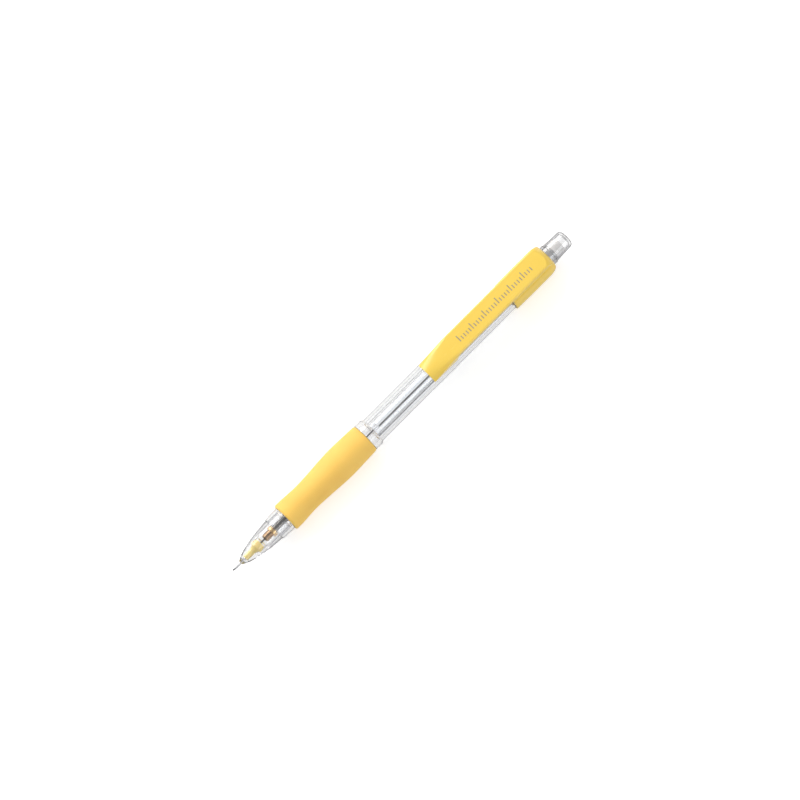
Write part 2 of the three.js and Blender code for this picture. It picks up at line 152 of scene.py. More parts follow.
def buildHairlines():
    # light scuffs drawn out along the pencil, as handling leaves
    group, source, result = newGroup(
        "hairlines",
        [("Vector", "NodeSocketVector", None), ("Amount", "NodeSocketFloat", 0.5)],
        [("Mask", "NodeSocketFloat")],
    )
    stretch = addNode(group, "ShaderNodeMapping")
    stretch.inputs["Scale"].default_value = (120.0, 2600.0, 2600.0)
    lines = addNode(group, "ShaderNodeTexNoise", Scale=1.0, Detail=2.0, Roughness=0.7)
    pick = addNode(group, "ShaderNodeMapRange", {"clamp": True}, From_Min=0.62, From_Max=0.80)
    scale = addNode(group, "ShaderNodeMath", {"operation": "MULTIPLY"})
    links = group.links
    links.new(source.outputs["Vector"], stretch.inputs["Vector"])
    links.new(stretch.outputs["Vector"], lines.inputs["Vector"])
    links.new(lines.outputs["Fac"], pick.inputs["Value"])
    links.new(pick.outputs["Result"], scale.inputs[0])
    links.new(source.outputs["Amount"], scale.inputs[1])
    links.new(scale.outputs[0], result.inputs["Mask"])
    return group


def buildTurningMarks():
    # rings left by a lathe tool: they vary along the pencil only
    group, source, result = newGroup(
        "turningMarks",
        [("Vector", "NodeSocketVector", None), ("Pitch", "NodeSocketFloat", 9000.0)],
        [("Height", "NodeSocketFloat")],
    )
    flatten = addNode(group, "ShaderNodeVectorMath", {"operation": "MULTIPLY"})
    flatten.inputs[1].default_value = (1.0, 0.03, 0.03)
    rings = addNode(group, "ShaderNodeTexNoise", Detail=3.0, Roughness=0.55)
    links = group.links
    links.new(source.outputs["Vector"], flatten.inputs[0])
    links.new(flatten.outputs[0], rings.inputs["Vector"])
    links.new(source.outputs["Pitch"], rings.inputs["Scale"])
    links.new(rings.outputs["Fac"], result.inputs["Height"])
    return group


mouldGrain = buildMouldGrain()
hairlines = buildHairlines()
turningMarks = buildTurningMarks()


# materials

def startMaterial(name, **values):
    material = bpy.data.materials.new(name)
    material.use_nodes = True
    tree = material.node_tree
    shader = tree.nodes["Principled BSDF"]
    for key, value in values.items():
        shader.inputs[key.replace("_", " ")].default_value = value
    coordinates = addNode(tree, "ShaderNodeTexCoord")
    return material, tree, shader, coordinates.outputs["Object"]


def useGroup(tree, group, vector, **values):
    node = tree.nodes.new("ShaderNodeGroup")
    node.node_tree = group
    tree.links.new(vector, node.inputs["Vector"])
    for key, value in values.items():
        node.inputs[key.replace("_", " ")].default_value = value
    return node


def rampFrom(tree, value, *stops):
    ramp = tree.nodes.new("ShaderNodeValToRGB")
    elements = ramp.color_ramp.elements
    while len(elements) < len(stops):
        elements.new(0.5)
    for element, (position, colour) in zip(elements, stops):
        element.position = position
        element.color = (*colour, 1)
    tree.links.new(value, ramp.inputs["Fac"])
    return ramp.outputs["Color"]


def rangeFrom(tree, value, low, high, fromLow=0.3, fromHigh=0.7):
    node = addNode(
        tree, "ShaderNodeMapRange", {"clamp": True},
        From_Min=fromLow, From_Max=fromHigh, To_Min=low, To_Max=high)
    tree.links.new(value, node.inputs["Value"])
    return node.outputs["Result"]


def colourFrom(tree, shader, value, *stops):
    tree.links.new(rampFrom(tree, value, *stops), shader.inputs["Base Color"])


def roughnessFrom(tree, shader, value, *limits):
    tree.links.new(rangeFrom(tree, value, *limits), shader.inputs["Roughness"])


def bumpFrom(tree, shader, height, strength, distance):
    bump = addNode(tree, "ShaderNodeBump", Strength=strength, Distance=distance)
    tree.links.new(height, bump.inputs["Height"])
    tree.links.new(bump.outputs["Normal"], shader.inputs["Normal"])


# a bump is given as its strength and its depth in m
clearLook = {
    "ior": 1.5,
    "shadowPass": 0.75,      # how much of a lamp's light goes straight through
    "bump": (0.05, 0.00002),
}


def clearPlastic(name, tint, edgeShade, edgeShadeFrom, edgeShadeTo, haze=0.02):
    # nearly colourless face on; towards a grazing angle the base colour darkens: painted shade and
    # painted dark reflection that stand in for the shadowed floor and dark surroundings seen along
    # the clear walls' edges
    material, tree, shader, vector = startMaterial(
        name, IOR=clearLook["ior"], Transmission_Weight=1.0)
    facing = addNode(tree, "ShaderNodeLayerWeight", Blend=0.5)
    colourFrom(tree, shader, facing.outputs["Facing"], (edgeShadeFrom, tint), (edgeShadeTo, edgeShade))
    scuffs = useGroup(tree, hairlines, vector, Amount=1.0)
    roughnessFrom(tree, shader, scuffs.outputs["Mask"], haze * 0.3, haze, 0.0, 1.0)
    grain = useGroup(tree, mouldGrain, vector, Fine_Scale=900.0, Broad_Scale=120.0)
    bumpFrom(tree, shader, grain.outputs["Height"], *clearLook["bump"])
    # lamps shine through to what is inside
    paths = tree.nodes.new("ShaderNodeLightPath")
    share = addNode(tree, "ShaderNodeMath", {"operation": "MULTIPLY"})
    share.inputs[1].default_value = clearLook["shadowPass"]
    seeThrough = tree.nodes.new("ShaderNodeBsdfTransparent")
    mix = tree.nodes.new("ShaderNodeMixShader")
    tree.links.new(paths.outputs["Is Shadow Ray"], share.inputs[0])
    tree.links.new(share.outputs[0], mix.inputs[0])
    tree.links.new(shader.outputs[0], mix.inputs[1])
    tree.links.new(seeThrough.outputs[0], mix.inputs[2])
    tree.links.new(mix.outputs[0], tree.nodes["Material Output"].inputs["Surface"])
    return material


plasticLook = {
    "coatRoughness": 0.32,
    "scuffed": 0.12,         # how much rougher a scuff is
    "scatterRadius": (1.0, 0.6, 0.2),
    "scatterScale": 0.0008,
}


def colouredPlastic(name, light, dark, roughness, bump, coat, subsurface):
    p = plasticLook
    material, tree, shader, vector = startMaterial(
        name, Coat_Weight=coat, Coat_Roughness=p["coatRoughness"], Subsurface_Weight=subsurface,
        Subsurface_Radius=p["scatterRadius"], Subsurface_Scale=p["scatterScale"])
    grain = useGroup(tree, mouldGrain, vector, Fine_Scale=5200.0, Broad_Scale=90.0)
    colourFrom(tree, shader, grain.outputs["Tone"], (0.35, dark), (0.65, light))
    scuffs = useGroup(tree, hairlines, vector, Amount=1.0)
    roughnessFrom(
        tree, shader, scuffs.outputs["Mask"], roughness, roughness + p["scuffed"], 0.0, 1.0)
    bumpFrom(tree, shader, grain.outputs["Height"], *bump)
    return material


def turnedMetal(name, dull, bright, roughness, pitch, bump, paintedShade=None):
    # roughness is given for the dull and the bright places; behind a station the colour is darkened
    # by painted shade
    material, tree, shader, vector = startMaterial(name, Metallic=1.0)
    marks = useGroup(tree, turningMarks, vector, Pitch=pitch)
    grain = useGroup(tree, mouldGrain, vector, Fine_Scale=3000.0, Broad_Scale=500.0)
    tone = grain.outputs["Tone"]
    colour = rampFrom(tree, tone, (0.3, dull), (0.6, bright))
    # painted shade: behind the given station the colour fades to darker tones
    if paintedShade:
        shadedColour = rampFrom(tree, tone, (0.3, paintedShade["dull"]), (0.6, paintedShade["bright"]))
        split = tree.nodes.new("ShaderNodeSeparateXYZ")
        tree.links.new(vector, split.inputs[0])
        start, end = place(paintedShade["start"], 0).x, place(paintedShade["start"] + paintedShade["fade"], 0).x
        mix = addNode(tree, "ShaderNodeMix", {"data_type": "RGBA"})
        share = rangeFrom(tree, split.outputs["X"], 0.0, 1.0, start, end)
        tree.links.new(share, mix.inputs["Factor"])
        tree.links.new(colour, mix.inputs[6])        # the node's colour sockets
        tree.links.new(shadedColour, mix.inputs[7])
        colour = mix.outputs[2]
    tree.links.new(colour, shader.inputs["Base Color"])
    roughnessFrom(tree, shader, tone, *roughness)
    bumpFrom(tree, shader, marks.outputs["Height"], *bump)
    return material


def grained(name, fine, broad, dark, light, bump=None, roughness=None, **values):
    # the colour wanders between two tones, over a fine relief
    material, tree, shader, vector = startMaterial(name, **values)
    grain = useGroup(tree, mouldGrain, vector, Fine_Scale=fine, Broad_Scale=broad)
    colourFrom(tree, shader, grain.outputs["Tone"], (0.3, dark), (0.7, light))
    if roughness:
        roughnessFrom(tree, shader, grain.outputs["Height"], *roughness, 0.4, 0.9)
    if bump:
        bumpFrom(tree, shader, grain.outputs["Height"], *bump)
    return material


# the edge colours below are painted shade: dark lines painted at the clear pieces' edges
clearBarrel = clearPlastic(
    "clearBarrel", tint=(0.985, 0.988, 0.995), edgeShade=(0.42, 0.43, 0.45),
    edgeShadeFrom=0.50, edgeShadeTo=0.82)
clearNose = clearPlastic(
    "clearNose", tint=(0.965, 0.965, 0.97), edgeShade=(0.20, 0.20, 0.22),
    edgeShadeFrom=0.30, edgeShadeTo=0.62)
clearTube = clearPlastic(
    "clearTube", tint=(0.975, 0.982, 0.995), edgeShade=(0.02, 0.022, 0.03),
    edgeShadeFrom=0.34, edgeShadeTo=0.56, haze=0.05)
clearInner = clearPlastic(
    "clearInner", tint=(0.945, 0.947, 0.95), edgeShade=(0.50, 0.50, 0.52),
    edgeShadeFrom=0.45, edgeShadeTo=0.75, haze=0.10)
clearButton = clearPlastic(
    "clearButton", tint=(0.98, 0.98, 0.985), edgeShade=(0.14, 0.14, 0.15),
    edgeShadeFrom=0.34, edgeShadeTo=0.58)
yellowPlastic = colouredPlastic(
    "yellowPlastic", light=(0.92, 0.64, 0.095), dark=(0.90, 0.62, 0.085),
    roughness=0.24, bump=(0.08, 0.00005), coat=0.6, subsurface=0.05)
holderPlastic = colouredPlastic(
    "holderPlastic", light=(0.96, 0.75, 0.29), dark=(0.94, 0.72, 0.25),
    roughness=0.35, bump=(0.12, 0.00005), coat=0.1, subsurface=0.15)
turnedBrass = turnedMetal(
    "turnedBrass", dull=(0.55, 0.36, 0.17), bright=(0.74, 0.53, 0.28),
    roughness=(0.32, 0.22), pitch=9000.0, bump=(0.25, 0.00004))
# the chuck's rear, inside the ring and sleeve, is painted darker: painted shade where they shade the
# stem
chuckBrass = turnedMetal(
    "chuckBrass", dull=(0.30, 0.19, 0.11), bright=(0.46, 0.32, 0.20),
    roughness=(0.36, 0.24), pitch=9000.0, bump=(0.25, 0.00004),
    paintedShade={"start": 17.2, "fade": 0.8, "dull": (0.10, 0.09, 0.08), "bright": (0.17, 0.155, 0.135)})
drawnSteel = turnedMetal(
    "drawnSteel", dull=(0.48, 0.48, 0.49), bright=(0.60, 0.60, 0.61),
    roughness=(0.32, 0.22), pitch=5000.0, bump=(0.1, 0.00004))
springWire = turnedMetal(
    "springWire", dull=(0.40, 0.40, 0.42), bright=(0.52, 0.52, 0.54),
    roughness=(0.4, 0.3), pitch=6000.0, bump=(0.1, 0.00004))
gripRubber = grained(
    "gripRubber", 7000.0, 110.0, dark=(0.93, 0.57, 0.11), light=(0.96, 0.61, 0.125),
    bump=(0.35, 0.00006), roughness=(0.55, 0.70), Subsurface_Weight=0.12,
    Subsurface_Radius=(1.0, 0.55, 0.2), Subsurface_Scale=0.001, Sheen_Weight=0.12,
    Sheen_Roughness=0.5)
darkRubber = grained(
    "darkRubber", 6000.0, 300.0, dark=(0.02, 0.02, 0.02), light=(0.045, 0.045, 0.045),
    bump=(0.3, 0.00005), Roughness=0.8)
eraserRubber = grained(
    "eraserRubber", 5000.0, 350.0, dark=(0.70, 0.69, 0.68), light=(0.79, 0.78, 0.77),
    bump=(0.5, 0.00008), Roughness=0.85, Subsurface_Weight=0.15,
    Subsurface_Radius=(1.0, 0.9, 0.8), Subsurface_Scale=0.0006)
graphite = grained(
    "graphite", 9000.0, 900.0, dark=(0.09, 0.09, 0.095), light=(0.15, 0.15, 0.155),
    bump=(0.2, 0.00003), Roughness=0.36, Metallic=0.6)
printInk = grained(
    "printInk", 8000.0, 1500.0, dark=(0.33, 0.26, 0.17), light=(0.40, 0.32, 0.22),
    Roughness=0.5)
print("materials ready")


# shaping

def outlineOf(bm, corners, closed):
    # corners are (station, radius, rounding); one with a rounding is turned with an arc
    made = [bm.verts.new(place(corner[0], corner[1])) for corner in corners]
    for first, second in zip(made, made[1:]):
        bm.edges.new((first, second))
    if closed:
        bm.edges.new((made[-1], made[0]))
    for vertex, corner in zip(made, corners):
        if len(corner) > 2 and corner[2] > 0:
            bmesh.ops.bevel(
                bm, geom=[vertex], offset=corner[2] * mm, offset_type="OFFSET",
                affect="VERTICES", segments=5, profile=0.5, material=-1)


def turned(corners, steps):
    # a closed outline, or one that starts and ends on the axis, spun round the pencil's axis
    closed = not (corners[0][1] == 0 and corners[-1][1] == 0)
    bm = bmesh.new()
    outlineOf(bm, corners, closed)
    bmesh.ops.spin(
        bm, geom=bm.verts[:] + bm.edges[:], cent=axisPoint, axis=(1, 0, 0), angle=fullTurn,
        steps=steps, use_merge=True)
    bmesh.ops.remove_doubles(bm, verts=bm.verts, dist=1e-7)
    bmesh.ops.recalc_face_normals(bm, faces=bm.faces)
    return bm


def curved(knots, steps):
    # points of a smooth line through (station, radius) knots
    points = [Vector((station, radius, 0)) for station, radius in knots]
    slopes = []
    for index in range(len(points)):
        before, after = points[max(index - 1, 0)], points[min(index + 1, len(points) - 1)]
        slopes.append(after - before)
    line = []
    for index in range(len(points) - 1):
        a, b = points[index], points[index + 1]
        span = b.x - a.x
        handleA = a + slopes[index] * (span / 3 / max(slopes[index].x, 1e-6))
        handleB = b - slopes[index + 1] * (span / 3 / max(slopes[index + 1].x, 1e-6))
        part = interpolate_bezier(a, handleA, handleB, b, steps + 1)
        line += [(p.x, p.y) for p in (part if index == 0 else part[1:])]
    return line


def shoulder(end, length, low, high, steps=10):
    # an elliptical rounding that falls from one radius to a smaller one at its end
    return [
        (end - length + length * math.sin(turn), low + (high - low) * math.cos(turn))
        for turn in (fullTurn / 4 * step / steps for step in range(steps + 1))]


def meshFrom(bm, name):
    mesh = bpy.data.meshes.new(name)
    bm.to_mesh(mesh)
    bm.free()
    return mesh


def finishPiece(name, bm, material, body=None, replaced=(), sharp=38):
    # edges steeper than sharp, in degrees, stay crisp
    mesh = meshFrom(bm, name)
    mesh.shade_smooth()
    mesh.set_sharp_from_angle(angle=math.radians(sharp))
    mesh.materials.append(material)
    piece = bpy.data.objects.new(name, mesh)
    bpy.context.scene.collection.objects.link(piece)
    weighted = piece.modifiers.new("evenShading", "WEIGHTED_NORMAL")
    weighted.keep_sharp = True
    if body:
        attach(piece, body)
    if replaced:
        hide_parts(*replaced)
    return piece


# barrel

barrelShape = {
    "outside": 4.38,
    "bore": 3.43,
    "front": 3.93,           # radius at the seam with the nose
    "frontRise": 0.2,        # and how much wider it is at the grip
    "frontLip": 0.35,
    "gripSeat": 4.03,
    "collar": 4.88,
    "collarLength": 3.0,
    "collarEdge": 0.25,      # length and fall of the slope at its rear
    "collarFall": 0.3,
    "capSeat": 3.96,         # under the clip's ring
    "springBore": 2.78,
    "narrowFrom": 4,         # how far ahead of the collar the bore narrows to the spring's
    "narrowTo": 7,
    "noseBore": 3.18,
    "steps": 128,
}


def buildBarrel():
    b = barrelShape
    lip = b["front"] + b["frontRise"]
    collarStart = gripEnd + seam
    collarEnd = collarStart + b["collarLength"]
    bm = turned([
        (barrelStart, b["front"], 0.14),
        (gripStart - b["frontLip"], lip, 0.1),
        (gripStart - seam, lip),
        (gripStart - seam, b["gripSeat"]),
        (collarStart, b["gripSeat"]),
        (collarStart, b["collar"], 0.12),
        (collarEnd - b["collarEdge"], b["collar"], 0.2),
        (collarEnd, b["collar"] - b["collarFall"], 0.1),
        (collarEnd, b["outside"], 0.12),
        (capStart - seam, b["outside"], 0.08),
        (capStart - seam, b["capSeat"]),
        (barrelEnd, b["capSeat"], 0.15),
        (barrelEnd, b["bore"], 0.1),
        (collarStart - b["narrowFrom"], b["bore"], 0.5),
        (collarStart - b["narrowTo"], b["springBore"], 0.5),
        (sleeveEnd + seam, b["springBore"], 0.1),
        (sleeveEnd + seam, b["noseBore"]),
        (barrelStart, b["noseBore"], 0.1),
    ], b["steps"])
    finishPiece("barrelShell", bm, clearBarrel, "body", ["barrel"])


buildBarrel()
print("barrel built")


# grip

gripShape = {
    "inside": 4.05,
    "lip": 4.88,
    "waist": 4.55,
    "belly": 5.30,
    "rear": 4.98,
    "steps": 128,
    "profileSteps": 8,
}


def buildGrip():
    g = gripShape
    length = gripEnd - gripStart
    outline = curved([
        (gripStart + 0.45, g["lip"] + 0.02),
        (gripStart + 3.2, g["lip"] - 0.04),
        (gripStart + 0.25 * length, g["waist"]),
        (gripStart + 0.42 * length, g["waist"] + 0.24),
        (gripStart + 0.6 * length, g["belly"] - 0.1),
        (gripStart + 0.7 * length, g["belly"]),
        (gripStart + 0.82 * length, g["belly"] - 0.1),
        (gripEnd - 0.4, g["rear"]),
    ], g["profileSteps"])
    bm = turned([
        (gripStart, g["lip"] - 0.35, 0.2),
        *outline,
        (gripEnd, g["rear"] - 0.3, 0.12),
        (gripEnd, g["inside"]),
        (gripStart, g["inside"]),
    ], g["steps"])
    finishPiece("gripSleeve", bm, gripRubber, "body", ["rubber_grip"], 50)


buildGrip()
print("grip built")


# clip and its ring

clipShape = {
    "capOutside": 5.02,
    "capBore": 3.98,         # round the barrel
    "buttonBore": 3.54,
    "mouth": 3.84,
    "rim": 4.04,
    "shoulder": 3.3,         # length of the ring's rounded rear
    "top": 6.90,             # height of the flat
    "thick": 1.8,
    "width": 7.2,
    "edge": 0.5,
    "dome": 8.0,             # radius and length of the dome that rounds the rear corners
    "domeLength": 5.2,
    "noseTip": 4.66,
    "noseSlope": 0.26,
    "coneRun": 20.0,
    "pad": 4.43,             # radius where the clip hugs the barrel
    "padLength": 8.5,
    "padRise": 2.2,
    "padFloor": 2.41,
    "steps": 128,
    "trimSteps": 192,
    "domeSteps": 16,
}


def combine(target, tool, operation):
    # target and tool are meshes; the result is a new mesh
    first = bpy.data.objects.new("combineTarget", target)
    second = bpy.data.objects.new("combineTool", tool)
    for thing in (first, second):
        bpy.context.scene.collection.objects.link(thing)
    cut = first.modifiers.new("combine", "BOOLEAN")
    cut.operation = operation
    cut.object = second
    cut.solver = "EXACT"
    bpy.context.view_layer.update()
    evaluated = first.evaluated_get(bpy.context.evaluated_depsgraph_get())
    result = bpy.data.meshes.new_from_object(evaluated)
    for thing in (first, second):
        bpy.data.objects.remove(thing)
    return result


def sidePrism(outline, width, edge=0.0):
    # a side outline of (station, height, rounding) carried across the pencil, with its two
    # upper long edges rounded
    bm = bmesh.new()
    outlineOf(bm, outline, True)
    face = bmesh.ops.contextual_create(bm, geom=bm.edges[:])["faces"]
    bmesh.ops.translate(bm, verts=bm.verts, vec=(0, -width * mm / 2, 0))
    grown = bmesh.ops.extrude_face_region(bm, geom=face)["geom"]
    farSide = [item for item in grown if isinstance(item, bmesh.types.BMVert)]
    bmesh.ops.translate(bm, verts=farSide, vec=(0, width * mm, 0))
    if edge > 0:
        top = max(vertex.co.z for vertex in bm.verts)
        long = [
            e for e in bm.edges
            if all(v.co.z > top - 1e-6 for v in e.verts)
            and abs(e.verts[0].co.y - e.verts[1].co.y) < 1e-6]
        bmesh.ops.bevel(
            bm, geom=long, offset=edge * mm, offset_type="OFFSET", affect="EDGES", segments=5,
            profile=0.5, material=-1)
    bmesh.ops.recalc_face_normals(bm, faces=bm.faces)
    return bm


def buildClip():
    c = clipShape
    underside = c["top"] - c["thick"]
    padEnd = clipStart + c["padLength"]
    coneRadius = c["noseTip"] + c["coneRun"] * c["noseSlope"]
    ring = meshFrom(turned([
        (capStart, 0),
        (capStart, c["capOutside"] - 0.1, 0.1),
        (capStart + 6, c["capOutside"]),
        *shoulder(capEnd, c["shoulder"], c["rim"], c["capOutside"]),
        (capEnd, 0),
    ], c["steps"]), "ring")
    top = meshFrom(sidePrism([
        (clipStart - 1, 0),
        (padEnd, 0),
        (padEnd + c["padRise"], underside, 1.0),
        (capStart, underside),
        (capStart, 1.0),
        (capEnd + 1, 1.0),
        (capEnd + 1, c["top"]),
        (clipStart - 1, c["top"]),
    ], c["width"], c["edge"]), "top")
    # a cone trims the clip's nose, and a dome the rear corners
    trim = meshFrom(turned([
        (clipStart, 0),
        (clipStart, c["noseTip"] - 0.02, 0.1),
        (clipStart + c["coneRun"], coneRadius),
        (capEnd - c["domeLength"] - 1, coneRadius),
        *shoulder(capEnd, c["domeLength"], c["rim"], c["dome"], c["domeSteps"]),
        (capEnd, 0),
    ], c["trimSteps"]), "trim")
    padCut = meshFrom(turned([
        (clipStart - 2, 0),
        (clipStart - 2, c["pad"] + 0.5),
        (clipStart + 1.2, c["pad"], 0.8),
        (capStart + 6, c["pad"]),
        (capStart + 6, 0),
    ], c["steps"]), "padCut")
    floorCut = meshFrom(sidePrism([
        (clipStart - 3, -2),
        (capStart - 1, -2),
        (capStart - 1, c["padFloor"]),
        (clipStart - 3, c["padFloor"]),
    ], c["width"] + 3), "floorCut")
    bore = meshFrom(turned([
        (capStart - 3, 0),
        (capStart - 3, c["capBore"]),
        (barrelEnd + seam, c["capBore"]),
        (barrelEnd + seam + 0.3, c["buttonBore"]),
        (capEnd - 0.3, c["buttonBore"], 0.2),
        (capEnd, c["mouth"]),
        (capEnd + 2, c["mouth"]),
        (capEnd + 2, 0),
    ], c["steps"]), "bore")
    whole = combine(top, trim, "INTERSECT")
    whole = combine(whole, padCut, "DIFFERENCE")
    whole = combine(whole, floorCut, "DIFFERENCE")
    whole = combine(whole, ring, "UNION")
    whole = combine(whole, bore, "DIFFERENCE")
    bm = bmesh.new()
    bm.from_mesh(whole)
    bmesh.ops.remove_doubles(bm, verts=bm.verts, dist=0.01 * mm)
    bmesh.ops.dissolve_degenerate(bm, edges=bm.edges, dist=0.01 * mm)
    bmesh.ops.recalc_face_normals(bm, faces=bm.faces)
    replaced = ["clip_cap", "clip_arm"]
    return finishPiece("clipAndRing", bm, yellowPlastic, None, replaced, 30)


marks = {
    "first": 97.6,           # stations of the first mark and the last
    "last": 128.4,
    "pitch": 1.1,
    "thick": 0.34,
    "short": 1.3,
    "long": 2.3,
    "raised": 0.012,
}


def buildMarks():
    # a plain printed scale along the flat top, every fifth mark longer
    bm = bmesh.new()
    count = int((marks["last"] - marks["first"]) / marks["pitch"]) + 1
    for index in range(count):
        height = marks["long"] if index % 5 == 0 else marks["short"]
        station = marks["first"] + index * marks["pitch"]
        centre = place(station, clipShape["top"], (height - marks["long"]) / 2)
        size = Vector((marks["thick"], height, 2 * marks["raised"])) * mm
        stretch = Matrix.Diagonal((*size, 1))
        bmesh.ops.create_cube(bm, size=1.0, matrix=Matrix.Translation(centre) @ stretch)
    return finishPiece("clipMarks", bm, printInk, None)


clipAndRing = buildClip()
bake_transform(clipAndRing)
clipMarks = buildMarks()
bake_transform(clipMarks)
print("clip built")


# nose

noseShape = {
    "rear": 3.68,
    "spigot": 3.13,
    "bore": 2.63,
    "holderHole": 2.04,
    "neckHole": 1.04,
    "pipeHole": 0.46,
    "steps": 128,
    "profileSteps": 6,
}
holderShape = {
    "outside": 2.0,
    "neck": 1.0,
    "neckShare": 0.48,       # of the holder's length
    "middleShare": 0.4,      # of what is behind the neck
    "pipeHole": 0.44,
    "cup": 1.52,             # takes the opened chuck's head
    "cupLip": 0.18,
    "pocket": 1.2,           # holds the retainer
    "pocketGap": 0.03,
    "steps": 64,
}
pipeShape = {"bore": 0.32, "outside": 0.42, "steps": 48}
retainerShape = {"bore": 0.31, "outside": 1.17, "mouth": 0.73, "mouthDepth": 0.57, "steps": 48}

holeStart = holderStart - seam
neckEnd = holeStart + holderShape["neckShare"] * (holderEnd - holeStart)
holderMiddle = neckEnd + holderShape["middleShare"] * (holderEnd - neckEnd)


def buildNose():
    n = noseShape
    length = barrelStart - noseStart
    rear = n["rear"]
    outline = curved([
        (noseStart, 0.2 * rear),
        (noseStart + 0.13 * length, 0.44 * rear),
        (noseStart + 0.22 * length, 0.56 * rear),
        (noseStart + 0.42 * length, 0.735 * rear),
        (noseStart + 0.64 * length, 0.88 * rear),
        (barrelStart - seam, rear),
    ], n["profileSteps"])
    bm = turned([
        *outline,
        (barrelStart - seam, n["spigot"]),
        (noseEnd, n["spigot"], 0.18),
        (noseEnd, n["bore"]),
        (holderEnd + 1.2, n["bore"], 0.3),
        (holderEnd + 0.2, n["holderHole"], 0.2),
        (holderMiddle, n["holderHole"], 0.2),
        (neckEnd, n["neckHole"]),
        (holeStart, n["neckHole"]),
        (holeStart, n["pipeHole"]),
        (noseStart, n["pipeHole"], 0.03),
    ], n["steps"])
    finishPiece("clearNose", bm, clearNose, "nose", ["nose_cone"])


def buildHolder():
    h = holderShape
    bm = turned([
        (holderStart, h["pipeHole"]),
        (holderStart, h["neck"], 0.1),
        (neckEnd + seam, h["neck"], 0.3),
        (holderMiddle + seam, h["outside"], 0.35),
        (holderMiddle + 0.6, h["outside"], 0.3),
        (holderEnd, h["cup"] + h["cupLip"], 0.05),
        (holderEnd, h["cup"], 0.05),
        (retainerEnd + h["pocketGap"], h["cup"]),
        (retainerEnd + h["pocketGap"], h["pocket"]),
        (retainerStart - h["pocketGap"], h["pocket"]),
        (retainerStart - h["pocketGap"], h["pipeHole"]),
    ], h["steps"])
    finishPiece("pipeHolder", bm, holderPlastic, "nose", ["sleeve_holder"])


def buildPipe():
    p = pipeShape
    start, end = reach("lead_pipe")
    bm = turned([
        (start, p["bore"], 0.02),
        (start, p["outside"], 0.05),
        (end, p["outside"], 0.03),
        (end, p["bore"], 0.02),
    ], p["steps"])
    finishPiece("leadPipe", bm, drawnSteel, "nose", ["lead_pipe"])


def buildRetainer():
    r = retainerShape
    bm = turned([
        (retainerStart, r["bore"]),
        (retainerStart, r["outside"], 0.05),
        (retainerEnd, r["outside"], 0.05),
        (retainerEnd, r["mouth"], 0.05),
        (retainerEnd - r["mouthDepth"], r["bore"], 0.05),
    ], r["steps"])
    finishPiece("leadRetainer", bm, darkRubber, "nose", ["lead_retainer"])


buildNose()
buildHolder()
buildPipe()
buildRetainer()
print("nose built")


# chuck

chuckShape = {
    "head": 1.28,
    "stem": 1.1,
    "bore": 0.5,
    "gripping": 0.30,        # radius of the jaws' grip on the lead
    "face": 0.8,
    "slit": 0.16,            # between the jaws
    "jaws": 3,
    "steps": 72,
}
ringShape = {"bore": 1.24, "outside": 1.8, "steps": 72}


def buildJaw(index):
    c = chuckShape
    start, root = reach("chuck_jaw_1")
    bm = turned([
        (start, c["gripping"] + 0.12, 0.05),
        (start, c["face"], 0.08),
        (start + 0.35, c["head"], 0.12),
        (start + 1.7, c["head"], 0.2),
        (start + 4.1, c["stem"], 0.4),
        (root, c["stem"], 0.03),
        (root, c["bore"]),
        (start + 2.6, c["bore"]),
        (start + 2.3, c["gripping"]),
        (start + 0.15, c["gripping"]),
    ], c["steps"])
    share = fullTurn / c["jaws"]
    middle = fullTurn / 4 + share / 2 + index * share      # in the Y-Z plane, from +Y
    for side in (-1, 1):
        edge = middle + side * share / 2
        outward = Vector((0, -math.sin(edge), math.cos(edge))) * side
        bmesh.ops.bisect_plane(
            bm, geom=bm.verts[:] + bm.edges[:] + bm.faces[:], dist=1e-8,
            plane_co=axisPoint - outward * (c["slit"] / 2 * mm), plane_no=outward,
            clear_outer=True)
        rim = [e for e in bm.edges if e.is_boundary]
        bmesh.ops.holes_fill(bm, edges=rim, sides=0)
    bmesh.ops.recalc_face_normals(bm, faces=bm.faces)
    number = index + 1
    finishPiece(
        f"chuckJaw{number}", bm, chuckBrass, f"jaw_{number}", [f"chuck_jaw_{number}"],
        35)


def buildStem():
    c = chuckShape
    start, end = reach("chuck_stem")
    bm = turned([
        (start, c["bore"]),
        (start, c["stem"], 0.03),
        (end, c["stem"], 0.1),
        (end, c["bore"], 0.05),
    ], c["steps"])
    finishPiece("chuckStem", bm, chuckBrass, "pusher", ["chuck_stem"])


def buildRing():
    r = ringShape
    start, end = reach("clutch_ring")
    bm = turned([
        (start, r["bore"], 0.08),
        (start, r["outside"], 0.12),
        (end, r["outside"], 0.12),
        (end, r["bore"], 0.05),
    ], r["steps"])
    finishPiece("clutchRing", bm, turnedBrass, "ring", ["clutch_ring"])


for jawIndex in range(chuckShape["jaws"]):
    buildJaw(jawIndex)
buildStem()
buildRing()
print("chuck built")


# seat and spring

sleeveShape = {"bore": 1.34, "outside": 1.75, "flange": 3.12, "steps": 72}
springShape = {
    "wire": 0.17,            # the wire's radius and the coil's, at its middle
    "coil": 1.65,
    "turns": 11,
    "closedTurns": 1.25,     # lying close together at each end
    "closedPitch": 1.06,     # in wire thicknesses
    "stepsPerTurn": 28,
    "sides": 10,
}


def buildSleeve():
    s = sleeveShape
    flangeStart = noseEnd + seam
    bm = turned([
        (sleeveStart, s["bore"], 0.05),
        (sleeveStart, s["outside"], 0.1),
        (flangeStart, s["outside"], 0.05),
        (flangeStart, s["flange"], 0.08),
        (sleeveEnd, s["flange"], 0.08),
        (sleeveEnd, s["bore"], 0.05),
    ], s["steps"])
    finishPiece("clutchSleeve", bm, clearInner, "body", ["clutch_sleeve"])


